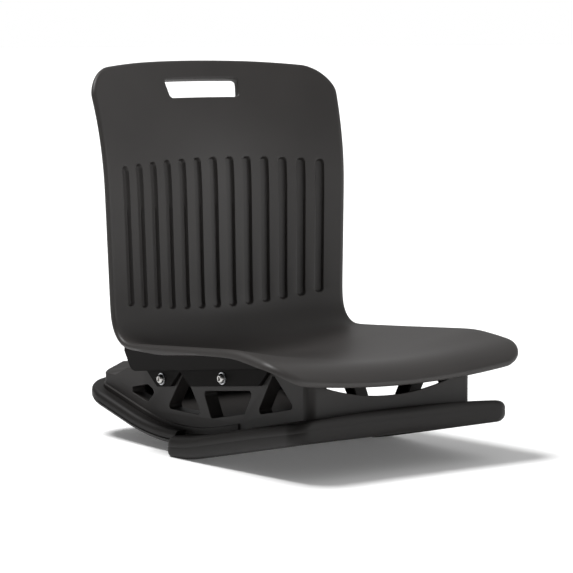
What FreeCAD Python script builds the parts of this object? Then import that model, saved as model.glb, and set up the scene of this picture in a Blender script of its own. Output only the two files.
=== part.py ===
# Floor rocking chair: a one-piece moulded seat shell carried by two bolted side brackets
# on a moulded rocker base whose rim is a front and a rear runner.
# Frame: +Z up, -Y to the sitter's front, X across. The floor is Z = 0. Millimetres and degrees.
import FreeCAD, Part
import math
import os
from FreeCAD import Rotation, Vector

doc = FreeCAD.newDocument("floor_rocking_chair")
sheet = doc.addObject("Spreadsheet::Sheet", "sizes")

# Driving dimensions: name, value, what it measures
DRIVING = (
    ("seat_low_height", 128, "height of the seat surface where the back bend starts, on the centre line"),
    ("seat_slope", 3.6, "angle by which the seat rises to the front"),
    ("seat_nose_y", -312, "furthest front of the nose curve"),
    ("nose_radius", 46, "radius of the rolled front edge of the seat"),
    ("nose_turn", 62, "angle through which the front edge rolls down"),
    ("bend_y", 68, "where the seat runs into the bend"),
    ("bend_radius", 72, "radius of the bend between seat and back"),
    ("back_recline", 1.8, "lean of the straight part of the back"),
    ("flare_height", 359, "height at which the back starts to flare"),
    ("flare_radius", 480, "radius of the flare at the top of the back"),
    ("back_height", 550, "top of the back on the centre line"),
    ("back_crown", 12, "how much lower the back is at its top corners"),
    ("back_corner", 58, "corner radius at the top of the back"),
    ("back_top_width", 436, "width of the back near its top"),
    ("waist_width", 414, "width of the shell at the foot of the back"),
    ("waist_height", 199, "height of the foot of the back"),
    ("seat_front_width", 439, "width of the seat near its front"),
    ("seat_front_y", -308, "front edge of the seat"),
    ("seat_corner", 60, "corner radius at the front of the seat"),
    ("seat_bow", 6, "how far the front edge bows out"),
    ("seat_lift", 25, "how far the sides of the seat rise over its middle"),
    ("back_lift", 40, "how far the sides of the back come forward of its middle"),
    ("nose_lift", 3, "what is left of that rise at the front edge"),
    ("nose_fade", 90, "length over which the rise fades to the front edge"),
    ("shell_wall", 6, "thickness of the shell"),
    ("flute_count", 13, "number of flutes in the back"),
    ("flute_pitch_top", 29.1, "spacing of the flutes at their tops"),
    ("flute_pitch_foot", 28.4, "spacing of the flutes at their feet"),
    ("flute_top", 409, "height of the top of the middle flute"),
    ("flute_foot", 185, "height of the foot of the middle flute"),
    ("flute_top_drop", 7, "how much lower the outer flutes end at the top"),
    ("flute_foot_rise", 15, "how much higher the outer flutes end at the foot"),
    ("flute_radius", 8, "radius of the round bottom of a flute"),
    ("flute_depth", 6, "depth of a flute"),
    ("rib_radius", 5.5, "radius of the rib behind each flute"),
    ("rib_cover", 1.2, "shell left in front of that rib before the flute is cut"),
    ("slot_width", 128, "width of the carrying slot"),
    ("slot_height", 24, "height of the carrying slot"),
    ("slot_foot", 494, "height of the lower edge of the carrying slot"),
    ("slot_corner", 6, "corner radius of the carrying slot"),
    ("keel_y", 25, "where the rocker is lowest"),
    ("keel_height", 28, "height of the pan's top at the keel"),
    ("keel_radius", 450, "radius of the rocker at the keel"),
    ("front_slope", 12, "slope of the rocker to the front"),
    ("rear_slope", 14, "slope of the rocker to the rear"),
    ("pan_wall", 4, "thickness of the rocker pan"),
    ("pan_half_width", 150, "half the width of the pan"),
    ("pan_front_y", -283, "front edge of the pan"),
    ("pan_rear_y", 252, "rear edge of the pan"),
    ("pan_corner", 42, "corner radius of the pan"),
    ("lip_depth", 16, "depth of the pan's turned-down lip"),
    ("box_half_width", 142, "half the width of the upstand"),
    ("box_front_y", -268, "front wall of the upstand"),
    ("box_rear_y", 239, "rear wall of the upstand"),
    ("box_corner", 14, "corner radius of the upstand"),
    ("box_wall", 3, "thickness of the upstand's walls"),
    ("plinth_height", 9, "height of the ledge round the upstand's foot"),
    ("plinth_ledge", 3, "how far that ledge stands out"),
    ("plinth_front_y", -110, "front end of that ledge"),
    ("rail_height", 121, "height of the side walls under the rear of the seat"),
    ("rail_slope", 6.5, "slope of the brackets and the truss windows"),
    ("rail_front_height", 135, "height of the side walls at the front"),
    ("tail_height", 90, "height of the side walls at the rear corners"),
    ("tail_flat_y", 204, "where the lowered rear corner starts to rise"),
    ("tail_rise_y", 170, "where that rise ends"),
    ("rear_wall_height", 104, "height of the rear wall in its middle"),
    ("rear_shoulder", 105, "half the width of the rear wall's level top"),
    ("deck_front_y", 172, "front edge of the deck over the rear end of the upstand"),
    ("front_dip_height", 102, "lowest point of the front wall's top edge"),
    ("front_dip_radius", 365, "radius of that edge"),
    ("window_depth", 22, "depth of the collars round the truss windows"),
    ("window_collar", 3, "thickness of those collars"),
    ("window_corner", 5, "corner radius of the truss windows"),
    ("window_low", 22, "height of the windows' lower edges over the pan"),
    ("rear_triangle_low", 27, "height of the rear triangle's lower edge over the pan"),
    ("front_triangle_low", 18, "height of the front triangle's lower edge over the pan"),
    ("rear_apex_gap", 2.5, "how far the rear triangle's tip stays below the bracket's lower edge"),
    ("front_apex_gap", 8, "how far the front triangle's tip stays below the bracket's lower edge"),
    ("trapezoid_gap", 31, "how far the middle window's top stays below the bracket's lower edge"),
    ("rear_triangle_y", 24, "middle of the rear triangular window"),
    ("front_triangle_y", -193, "middle of the front triangular window"),
    ("front_triangle_lean", 6, "how far the tip of the front triangle leans to the rear"),
    ("triangle_half", 43, "half the base of the triangular windows"),
    ("trapezoid_y", -82, "middle of the middle window"),
    ("trapezoid_low_half", 40, "half the lower edge of the middle window"),
    ("trapezoid_top_half", 59, "half the upper edge of the middle window"),
    ("tail_window_rear_y", 157, "rear end of the rear window"),
    ("tail_window_length", 59, "length of the rear window"),
    ("tail_window_end", 8, "height of the rear window at its rear end"),
    ("tail_window_height", 26, "height of the rear window at its front end"),
    ("rear_runner_half_width", 168, "half the width over the rear runner"),
    ("rear_runner_y", 269, "rear face of the rear runner"),
    ("rear_runner_corner", 60, "corner radius of the rear runner"),
    ("rear_runner_drop", 15, "depth of the rear runner below the pan's top"),
    ("rear_runner_rise", 5.5, "height of the rear runner over the pan's top"),
    ("rear_runner_round", 6, "rounding of the rear runner's edges"),
    ("front_runner_half_width", 188, "half the width over the front runner"),
    ("front_runner_y", -301, "front face of the front runner"),
    ("front_runner_corner", 24, "corner radius of the front runner"),
    ("front_runner_drop", 32, "depth of the front runner below the pan's top"),
    ("front_runner_round", 9, "rounding of the front runner's edges"),
    ("runner_split_y", 10, "where the two runners meet"),
    ("runner_gap", 0.3, "clearance between the runners"),
    ("bracket_outer_x", 162, "outer face of the brackets at their lower edge"),
    ("bracket_flare", 12, "how far that face leans out to its top"),
    ("bracket_flare_height", 30, "height over which it leans out"),
    ("bracket_overlap", 12, "height of the bracket's blank over the shell's lower face"),
    ("bracket_clear", 25, "depth cleared above the shell when the bracket is fitted to it"),
    ("bracket_gap", 0.3, "clearance between brackets, base and shell"),
    ("bracket_foot", 117, "height of the bracket's lower edge over the keel"),
    ("bracket_rear_y", 130, "rear end of the bracket"),
    ("bracket_front_y", -192, "front end of the bracket"),
    ("bracket_round", 8, "radius of the bracket's lower rear corner"),
    ("tab_thickness", 7, "thickness of the bolted tabs"),
    ("tab_drop", 24, "how far the tabs hang below the bracket"),
    ("tab_slant", 27, "how much further the tabs reach at their tops than at their lower edges"),
    ("rear_tab_half", 17, "half the length of the rear tab's lower edge"),
    ("rear_tab_offset", -4, "middle of the rear tab from its bolt"),
    ("front_tab_half", 82, "half the length of the front tab's lower edge"),
    ("front_tab_offset", -2, "middle of the front tab from its bolt"),
    ("rear_bolt_y", 70, "place of the rear bolts"),
    ("bolt_spacing", 149.5, "distance between the bolts"),
    ("bolt_height", 99, "height of the rear bolts"),
    ("bolt_diameter", 8, "thread diameter of the side bolts"),
    ("bolt_head", 14, "diameter of the button heads"),
    ("bolt_head_height", 4.5, "height of the button heads"),
    ("bolt_socket", 5, "hexagon socket across flats"),
    ("washer_outer", 17, "outer diameter of the washers"),
    ("washer_thickness", 1.6, "thickness of the washers"),
    ("sleeve_outer", 11, "outer diameter of the spacer sleeves"),
    ("boss_outer", 19, "outer diameter of the bolt bosses"),
    ("nut_flats", 13, "width of the lock nuts across flats"),
    ("nut_height", 8, "height of the lock nuts"),
    ("insert_outer", 8, "outer diameter of the brass inserts"),
    ("insert_length", 8, "length of the brass inserts"),
    ("seat_boss_outer", 13, "outer diameter of the bosses under the seat"),
    ("seat_boss_length", 7, "length of the bosses under the seat"),
    ("screw_diameter", 5, "thread diameter of the shell screws"),
    ("screw_head", 9, "head diameter of the shell screws"),
    ("screw_head_height", 3.2, "head height of the shell screws"),
    ("screw_floor", 4, "bracket material under each boss that the screw clamps"),
    ("shell_screw_count", 3, "shell screws on each side"),
    ("shell_screw_rear_y", 52, "rearmost shell screw"),
    ("shell_screw_pitch", 88, "distance between the shell screws"),
    ("tapper_diameter", 4, "thread diameter of the runner screws"),
    ("tapper_length", 14, "length of the runner screws"),
    ("tapper_head", 8, "head diameter of the runner screws"),
    ("tapper_head_height", 2.6, "head height of the runner screws"),
    ("tapper_drop", 8, "place of the runner screws below the pan's top"),
    ("front_side_tapper_y", -45, "rearmost side screw of the front runner"),
    ("front_side_tapper_pitch", 90, "distance between the front runner's side screws"),
    ("front_tapper_x", 80, "place of the front runner's front screws"),
    ("rear_side_tapper_y", 65, "foremost side screw of the rear runner"),
    ("rear_side_tapper_pitch", 80, "distance between the rear runner's side screws"),
    ("rear_tapper_x", 70, "place of the rear runner's rear screws"),
    ("fastener_gap", 0.1, "clearance of screws, bolts and sleeves in their holes"),
)
for row, (alias, value, meaning) in enumerate(DRIVING, start=1):
    sheet.set("A%d" % row, meaning)
    sheet.set("B%d" % row, str(value))
    sheet.setAlias("B%d" % row, alias)
doc.recompute()


def size(name):
    """One driving dimension from the sheet."""
    return float(sheet.get(name))


# Shell surface: a centre profile of tangent lines and arcs, lifted at the sides
def profile_nodes():
    """Centre profile from the front edge to above the back: lengths, points and headings of its joints."""
    slope = math.radians(size("seat_slope"))
    lean = math.radians(size("back_recline"))
    nose_r = size("nose_radius")
    bend_r = size("bend_radius")
    bend = Vector(0, size("bend_y"), size("seat_low_height"))
    nose_centre_y = size("seat_nose_y") + nose_r
    nose_end_y = nose_centre_y + nose_r * math.sin(slope)
    nose_end = Vector(0, nose_end_y, bend.z + (bend.y - nose_end_y) * math.tan(slope))
    back_foot = bend + Vector(0, math.sin(slope), math.cos(slope)) * bend_r
    back_foot = back_foot + Vector(0, math.cos(lean), -math.sin(lean)) * bend_r
    flare_start = back_foot + Vector(0, math.tan(lean), 1) * (size("flare_height") - back_foot.z)
    return slope, lean, nose_end, bend, back_foot, flare_start


def profile_stations(past_top):
    """Points and sitter-side normals along the centre profile, with the rise of the sides at each one."""
    slope, lean, nose_end, bend, back_foot, flare_start = profile_nodes()
    nose_r = size("nose_radius")
    bend_r = size("bend_radius")
    flare_r = size("flare_radius")
    nose_turn = math.radians(size("nose_turn"))
    stations = []

    def add(y, z, tilt):
        # tilt is the angle of the surface from level, 0 on a level seat and 90 degrees on an upright back
        stations.append((Vector(0, y, z), Vector(0, -math.sin(tilt), math.cos(tilt)), tilt))

    nose_centre = nose_end - Vector(0, math.sin(slope), math.cos(slope)) * nose_r
    for share in (0, 0.2, 0.4, 0.6, 0.8, 1):
        tilt = nose_turn + (-slope - nose_turn) * share
        add(nose_centre.y - nose_r * math.sin(tilt), nose_centre.z + nose_r * math.cos(tilt), tilt)
    for share in (0.2, 0.4, 0.6, 0.8):
        middle = nose_end + (bend - nose_end) * share
        add(middle.y, middle.z, -slope)
    bend_centre = bend + Vector(0, math.sin(slope), math.cos(slope)) * bend_r
    upright = math.pi / 2 - lean
    for share in (0, 1 / 6, 1 / 3, 1 / 2, 2 / 3, 5 / 6, 1):
        tilt = -slope + (upright + slope) * share
        add(bend_centre.y + bend_r * math.sin(tilt), bend_centre.z - bend_r * math.cos(tilt), tilt)
    for share in (0.25, 0.5, 0.75):
        middle = back_foot + (flare_start - back_foot) * share
        add(middle.y, middle.z, upright)
    flare_centre = flare_start + Vector(0, math.cos(lean), -math.sin(lean)) * flare_r
    top_lean = math.asin((size("back_height") + past_top - flare_centre.z) / flare_r)
    for share in (0, 0.2, 0.4, 0.6, 0.8, 1):
        turn = lean + (top_lean - lean) * share
        add(flare_centre.y - flare_r * math.cos(turn), flare_centre.z + flare_r * math.sin(turn),
            math.pi / 2 - turn)
    return stations


def smooth(share):
    """Smooth step from 0 to 1."""
    share = min(max(share, 0.0), 1.0)
    return share * share * (3 - 2 * share)


def side_lift(point, tilt):
    """How far the sides stand over the centre line: full on seat and back, fading to the front edge."""
    slope = math.radians(size("seat_slope"))
    turned = smooth((tilt + slope) / (math.pi / 2)) if point.y > size("bend_y") else 0.0
    lift = size("seat_lift") + (size("back_lift") - size("seat_lift")) * turned
    start = size("seat_front_y") + size("nose_fade")
    fade = smooth((start - point.y) / size("nose_fade"))
    return lift + (size("nose_lift") - lift) * fade


LIFT_FLATTENING = 0.2


def across(share):
    """Share of the side lift at a share of the half width, and its slope: a parabola that flattens outwards."""
    square = share * share
    height = square * (1 + LIFT_FLATTENING - LIFT_FLATTENING * square)
    slope = 2 * share * (1 + LIFT_FLATTENING) - 4 * LIFT_FLATTENING * share * square
    return height, slope


def shell_point(station, x, depth):
    """Point of the shell at a place across the chair, at a depth behind the sitter's surface."""
    centre, normal, tilt = station
    half = size("waist_width") / 2
    lift = side_lift(centre, tilt)
    height, slope = across(x / half)
    inward = Vector(-lift * slope / half, normal.y, normal.z)
    inward.normalize()
    surface = centre + Vector(x, 0, 0) + normal * (lift * height)
    return surface - inward * depth


PAST_EDGE = 14
CROSS_POINTS = 11


def shell_layer(front_depth, rear_depth):
    """Solid between two depths behind the sitter's surface, wider and taller than the shell."""
    reach = size("seat_front_width") / 2 + PAST_EDGE
    places = [reach * (2 * index / (CROSS_POINTS - 1) - 1) for index in range(CROSS_POINTS)]
    sections = []
    for station in profile_stations(PAST_EDGE):
        rails = []
        for depth in (front_depth, rear_depth):
            curve = Part.BSplineCurve()
            curve.interpolate([shell_point(station, x, depth) for x in places])
            rails.append(curve.toShape())
        left = Part.makeLine(rails[0].firstVertex().Point, rails[1].firstVertex().Point)
        right = Part.makeLine(rails[0].lastVertex().Point, rails[1].lastVertex().Point)
        sections.append(Part.Wire([rails[0], right, rails[1], left]))
    return Part.makeLoft(sections, True, False)


# Outlines: polygons with rounded corners, laid in a plane by a placing function
def rounded_wire(corners, place):
    """Closed wire through corners (a, b, radius), each rounded by an arc of its radius."""
    count = len(corners)
    bends = []
    for index, (a, b, radius) in enumerate(corners):
        here = Vector(a, b, 0)
        before = Vector(*corners[index - 1][:2], 0) - here
        after = Vector(*corners[(index + 1) % count][:2], 0) - here
        before.normalize()
        after.normalize()
        half_angle = before.getAngle(after) / 2
        reach = radius / math.tan(half_angle)
        middle = before + after
        if radius == 0 or middle.Length == 0:
            bends.append((here, here, here))
            continue
        middle.normalize()
        top = here + middle * (radius / math.sin(half_angle) - radius)
        bends.append((here + before * reach, top, here + after * reach))
    edges = []
    for index, (start, top, end) in enumerate(bends):
        points = [place(point.x, point.y) for point in (start, top, end)]
        if not points[0].isEqual(points[2], 1e-6):
            edges.append(Part.Arc(*points).toShape())
        following = bends[(index + 1) % count][0]
        line_end = place(following.x, following.y)
        if not points[2].isEqual(line_end, 1e-6):
            edges.append(Part.makeLine(points[2], line_end))
    return Part.Wire(edges)


def prism(corners, place, along):
    """Solid made by drawing a rounded outline along a vector."""
    return Part.Face(rounded_wire(corners, place)).extrude(along)


FAR = 700


def plan_prism(corners):
    """Upright solid over an outline given as (x, y, radius)."""
    return prism(corners, lambda x, y: Vector(x, y, -FAR / 2), Vector(0, 0, 2 * FAR))


def front_prism(corners, start_y, end_y):
    """Solid along Y over an outline given as (x, z, radius)."""
    return prism(corners, lambda x, z: Vector(x, start_y, z), Vector(0, end_y - start_y, 0))


def side_prism(corners, start_x, end_x):
    """Solid along X over an outline given as (y, z, radius)."""
    return prism(corners, lambda y, z: Vector(start_x, y, z), Vector(end_x - start_x, 0, 0))


def mirrored_outline(half):
    """Whole outline from the corners of its +X half."""
    return half + [(-a, b, radius) for a, b, radius in reversed(half) if a != 0]


CROWN_SHARE = 0.6


def crown_apex(rise):
    """Height of the sharp roof whose top is at this rise once it is rounded."""
    return rise / (1 - CROWN_SHARE / 2)


def crown_radius(rise, half):
    """Radius that rounds that roof over a share of its half width."""
    turn = math.atan2(crown_apex(rise), half)
    return CROWN_SHARE * half / math.sin(turn)


def rod(centre, direction, radius, length):
    """Cylinder that starts at a point and runs along a direction."""
    return Part.makeCylinder(radius, length, centre, direction)


def add_piece(name, shape):
    """Named sub-part of the document."""
    piece = doc.addObject("Part::Feature", name)
    piece.Label = name
    piece.Shape = shape
    return piece


# Places that several pieces share
def rail_height_at(y, height):
    """Height of a line that runs with the brackets, given its height over the keel."""
    return height + (size("keel_y") - y) * math.tan(math.radians(size("rail_slope")))


def pan_height_at(y):
    """Height of the pan's top: an arc at the keel and a tangent slope to each side."""
    away = y - size("keel_y")
    radius = size("keel_radius")
    slope = math.radians(size("rear_slope") if away > 0 else size("front_slope"))
    arc_end = radius * math.sin(slope)
    if abs(away) <= arc_end:
        return size("keel_height") + radius - math.sqrt(radius ** 2 - away ** 2)
    arc_rise = radius * (1 - math.cos(slope))
    return size("keel_height") + arc_rise + (abs(away) - arc_end) * math.tan(slope)


def bolt_places():
    """Rear and front bolt: (y, z)."""
    rear_y = size("rear_bolt_y")
    front_y = rear_y - size("bolt_spacing")
    rise = size("bolt_spacing") * math.tan(math.radians(size("rail_slope")))
    return (rear_y, size("bolt_height")), (front_y, size("bolt_height") + rise)


def seat_underside(x, y):
    """Height of the shell's lower face over a place in plan, on the straight part of the seat."""
    slope = math.radians(size("seat_slope"))
    wanted = y
    for _ in range(4):
        centre_z = size("seat_low_height") + (size("bend_y") - wanted) * math.tan(slope)
        station = (Vector(0, wanted, centre_z), Vector(0, math.sin(slope), math.cos(slope)), -slope)
        point = shell_point(station, x, size("shell_wall"))
        wanted += y - point.y
    return point.z


def shell_screw_places():
    """Each shell screw: x, y and the height of its boss's lower end."""
    tab_face_x = size("box_half_width") + size("bracket_gap") + size("tab_thickness")
    boss_x = tab_face_x + size("screw_head") / 2 + 2 * size("bracket_gap")
    places = []
    for side in (-1, 1):
        for index in range(int(size("shell_screw_count"))):
            y = size("shell_screw_rear_y") - index * size("shell_screw_pitch")
            places.append((side * boss_x, y, seat_underside(boss_x, y) - size("seat_boss_length")))
    return places


# Seat shell: one moulding, trimmed to its outline, fluted and slotted, with screw bosses below the seat
def back_station(height):
    """Station of the centre profile at a height on the back."""
    slope, lean, nose_end, bend, back_foot, flare_start = profile_nodes()
    bend_r = size("bend_radius")
    flare_r = size("flare_radius")
    if height < back_foot.z:
        centre = bend + Vector(0, math.sin(slope), math.cos(slope)) * bend_r
        tilt = math.acos((centre.z - height) / bend_r)
        point = Vector(0, centre.y + bend_r * math.sin(tilt), height)
    elif height < flare_start.z:
        tilt = math.pi / 2 - lean
        point = back_foot + Vector(0, math.tan(lean), 1) * (height - back_foot.z)
    else:
        centre = flare_start + Vector(0, math.cos(lean), -math.sin(lean)) * flare_r
        turn = math.asin((height - centre.z) / flare_r)
        tilt = math.pi / 2 - turn
        point = Vector(0, centre.y - flare_r * math.cos(turn), height)
    return point, Vector(0, -math.sin(tilt), math.cos(tilt)), tilt


def back_point(x, height, depth):
    """Point of the back at a place across and a height, at a depth behind the sitter's surface."""
    wanted = height
    for _ in range(4):
        point = shell_point(back_station(wanted), x, depth)
        wanted += height - point.z
    return point


def round_ended_rod(start, end, radius):
    """Rod between two points with half-ball ends."""
    length = (end - start).Length
    foot = Part.Arc(Vector(0, 0, -radius), Vector(radius, 0, -radius) * math.sqrt(0.5), Vector(radius, 0, 0))
    wall = Part.LineSegment(Vector(radius, 0, 0), Vector(radius, 0, length))
    shoulder = Vector(0, 0, length) + Vector(radius, 0, radius) * math.sqrt(0.5)
    head = Part.Arc(Vector(radius, 0, length), shoulder, Vector(0, 0, length + radius))
    axis = Part.LineSegment(Vector(0, 0, length + radius), Vector(0, 0, -radius))
    section = Part.Face(Part.Wire([edge.toShape() for edge in (foot, wall, head, axis)]))
    solid = section.revolve(Vector(0, 0, 0), Vector(0, 0, 1), 360)
    solid.Placement = FreeCAD.Placement(start, Rotation(Vector(0, 0, 1), end - start))
    return solid


def flute_rods(radius, axis_depth):
    """One round-ended rod along each flute, with its axis at a depth behind the sitter's surface."""
    end_inset = size("flute_radius")
    outermost = (size("flute_count") - 1) / 2
    rods = []
    for index in range(int(size("flute_count"))):
        place = index - outermost
        bend = (place / outermost) ** 2
        top_z = size("flute_top") - size("flute_top_drop") * bend - end_inset
        foot_z = size("flute_foot") + size("flute_foot_rise") * bend + end_inset
        top = back_point(place * size("flute_pitch_top"), top_z, axis_depth)
        foot = back_point(place * size("flute_pitch_foot"), foot_z, axis_depth)
        rods.append(round_ended_rod(foot, top, radius))
    return rods


def make_seat_shell():
    """The shell's solid."""
    wall = size("shell_wall")
    back_foot = profile_nodes()[4]
    corner_z = size("back_height") - size("back_crown")
    top_half = size("back_top_width") / 2
    waist_half = size("waist_width") / 2
    front_half = size("seat_front_width") / 2
    waist_z = size("waist_height")
    crown = crown_radius(size("back_crown"), top_half)
    back_outline = [(waist_half, waist_z, 0), (top_half, corner_z, size("back_corner")),
                    (0, corner_z + crown_apex(size("back_crown")), crown)]
    bow = crown_radius(size("seat_bow"), front_half)
    corner_y = size("seat_front_y") + size("seat_bow")
    waist_y = back_point(waist_half, waist_z, 0).y
    seat_outline = [(waist_half, FAR / 2, 0), (waist_half, waist_y, 0),
                    (front_half, corner_y, size("seat_corner")),
                    (0, corner_y - crown_apex(size("seat_bow")), bow)]
    below_waist = Part.makeBox(2 * FAR, 2 * FAR, FAR, Vector(-FAR, -FAR, waist_z - FAR))
    outline = front_prism(mirrored_outline(back_outline), -FAR, FAR)
    outline = outline.fuse(plan_prism(mirrored_outline(seat_outline)).common(below_waist))
    shell = shell_layer(0, wall).common(outline)
    rib_depth = size("rib_radius") + size("rib_cover")
    shell = shell.multiFuse(flute_rods(size("rib_radius"), rib_depth))
    groove_depth = size("flute_depth") - size("flute_radius")
    shell = shell.cut(Part.Compound(flute_rods(size("flute_radius"), groove_depth)))
    slot_half = size("slot_width") / 2
    slot_top = size("slot_foot") + size("slot_height")
    slot = [(slot_half, size("slot_foot"), size("slot_corner")), (slot_half, slot_top, size("slot_corner"))]
    shell = shell.cut(front_prism(mirrored_outline(slot), back_foot.y - size("back_lift"), FAR))
    up = Vector(0, 0, 1)
    bosses = []
    threads = []
    for x, y, end_z in shell_screw_places():
        boss_height = size("seat_boss_length") + wall / 2
        bosses.append(rod(Vector(x, y, end_z), up, size("seat_boss_outer") / 2, boss_height))
        thread_radius = size("insert_outer") / 2 + size("fastener_gap")
        thread_depth = size("insert_length") + size("fastener_gap")
        threads.append(rod(Vector(x, y, end_z), up, thread_radius, thread_depth))
    return shell.multiFuse(bosses).cut(Part.Compound(threads))


add_piece("seat_shell", make_seat_shell())


# Rocker base: a curved pan with a turned-down lip, a box of truss walls on it and a deck over its rear end
def rocker_edges(drop):
    """Side view of the rocker at a drop below the pan's top: front slope, keel arc and rear slope."""
    radius = size("keel_radius") + drop
    centre = Vector(0, size("keel_y"), size("keel_height") + size("keel_radius"))
    front = math.radians(size("front_slope"))
    rear = math.radians(size("rear_slope"))
    front_end = centre + Vector(0, -math.sin(front), -math.cos(front)) * radius
    rear_end = centre + Vector(0, math.sin(rear), -math.cos(rear)) * radius
    lowest = centre - Vector(0, 0, radius)
    far_front = front_end + Vector(0, -math.cos(front), math.sin(front)) * FAR
    far_rear = rear_end + Vector(0, math.cos(rear), math.sin(rear)) * FAR
    edges = [Part.makeLine(far_front, front_end), Part.Arc(front_end, lowest, rear_end).toShape()]
    return edges + [Part.makeLine(rear_end, far_rear)], far_front, far_rear


def rocker_band(top_drop, foot_drop):
    """Solid across the chair between two drops below the pan's top."""
    upper, upper_front, upper_rear = rocker_edges(top_drop)
    lower, lower_front, lower_rear = rocker_edges(foot_drop)
    ends = [Part.makeLine(upper_front, lower_front), Part.makeLine(upper_rear, lower_rear)]
    face = Part.Face(Part.Wire(Part.__sortEdges__(upper + lower + ends)))
    face.translate(Vector(-FAR / 2, 0, 0))
    return face.extrude(Vector(FAR, 0, 0))


def plan_outline(half_width, front_y, rear_y, front_corner, rear_corner, inset):
    """Rounded rectangle in plan, drawn in by an inset."""
    half = half_width - inset
    return mirrored_outline([(half, rear_y - inset, rear_corner - inset),
                             (half, front_y + inset, front_corner - inset)])


def pan_outline(inset):
    """Plan of the pan."""
    corner = size("pan_corner")
    return plan_outline(size("pan_half_width"), size("pan_front_y"), size("pan_rear_y"), corner, corner, inset)


def box_outline(inset):
    """Plan of the upstand's walls."""
    corner = size("box_corner")
    return plan_outline(size("box_half_width"), size("box_front_y"), size("box_rear_y"), corner, corner, inset)


def window_outlines():
    """Side view of the four truss windows, as (y, z, radius) corners."""
    corner = size("window_corner")
    low = size("window_low")
    outlines = []
    for end, lean in (("rear", 0), ("front", size("front_triangle_lean"))):
        middle = size(end + "_triangle_y")
        low_edge = size(end + "_triangle_low")
        rear_y = middle + size("triangle_half")
        front_y = middle - size("triangle_half")
        tip_y = middle + lean
        tip_z = rail_height_at(tip_y, size("bracket_foot")) - size(end + "_apex_gap")
        outlines.append([(rear_y, pan_height_at(rear_y) + low_edge, corner), (tip_y, tip_z, corner),
                         (front_y, pan_height_at(front_y) + low_edge, corner)])
    middle = size("trapezoid_y")
    corners = []
    for place in (middle + size("trapezoid_top_half"), middle - size("trapezoid_top_half")):
        corners.append((place, rail_height_at(place, size("bracket_foot")) - size("trapezoid_gap"), corner))
    for place in (middle - size("trapezoid_low_half"), middle + size("trapezoid_low_half")):
        corners.append((place, pan_height_at(place) + low, corner))
    outlines.append(corners)
    rear_y = size("tail_window_rear_y")
    front_y = rear_y - size("tail_window_length")
    knee_y = front_y + size("tail_window_length") / 3
    rear_low = pan_height_at(rear_y) + low
    knee_low = pan_height_at(knee_y) + low
    top = knee_low + size("tail_window_height")
    outlines.append([(rear_y, rear_low, corner / 2), (rear_y, rear_low + size("tail_window_end"), corner / 2),
                     (knee_y, top, corner), (front_y, top - size("tail_window_end"), corner),
                     (knee_y, knee_low, corner)])
    return outlines


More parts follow.
